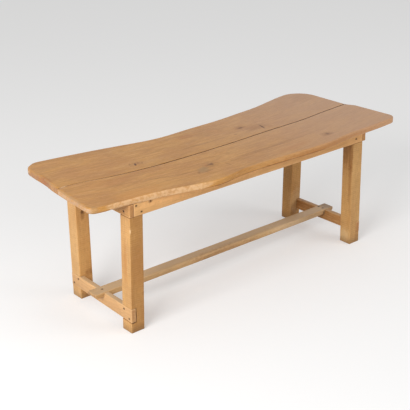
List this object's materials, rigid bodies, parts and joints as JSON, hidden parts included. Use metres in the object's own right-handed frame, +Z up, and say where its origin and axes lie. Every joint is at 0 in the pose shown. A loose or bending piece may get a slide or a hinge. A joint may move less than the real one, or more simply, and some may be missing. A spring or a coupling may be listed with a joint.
{
  "type": "farmhouse dining table",
  "caption": "Free-standing farmhouse dining table of knotty wood: a bowed plank top on a nailed frame of square legs, aprons and low rails tied by a long stretcher.",
  "frame": {"origin": "on the floor, under the middle of the top's outline", "axes": "+X along the table, from the end in the picture's foreground to the far end; +Y from the picture's front long side to the rear; +Z up"},
  "size_m": [2.2227, 0.8419, 0.76],
  "materials": {
    "plank_wood": "waxed, worn satin",
    "leg_wood": "waxed, worn satin",
    "rail_wood": "waxed, worn satin",
    "stretcher_wood": "dry, scuffed",
    "iron": "dark, rusted"
  },
  "bodies": {
    "root": {"top_plank_front": "plank_wood", "apron_front": "rail_wood", "apron_nails_front": "iron", "top_nails_front": "iron", "bearer_end_nail_front": "iron", "leg_front_left": "leg_wood", "leg_front_right": "leg_wood", "top_plank_rear": "plank_wood", "apron_rear": "rail_wood", "apron_nails_rear": "iron", "top_nails_rear": "iron", "bearer_end_nail_rear": "iron", "leg_rear_left": "leg_wood", "leg_rear_right": "leg_wood", "end_rail_left": "rail_wood", "foot_rail_left": "rail_wood", "end_rail_nails_left": "iron", "foot_rail_nails_left": "iron", "tongue_nails_left": "iron", "end_rail_right": "rail_wood", "foot_rail_right": "rail_wood", "end_rail_nails_right": "iron", "foot_rail_nails_right": "iron", "tongue_nails_right": "iron", "long_stretcher": "stretcher_wood", "cross_bearer": "rail_wood", "bearer_top_nails": "iron"}
  },
  "joints": []
}
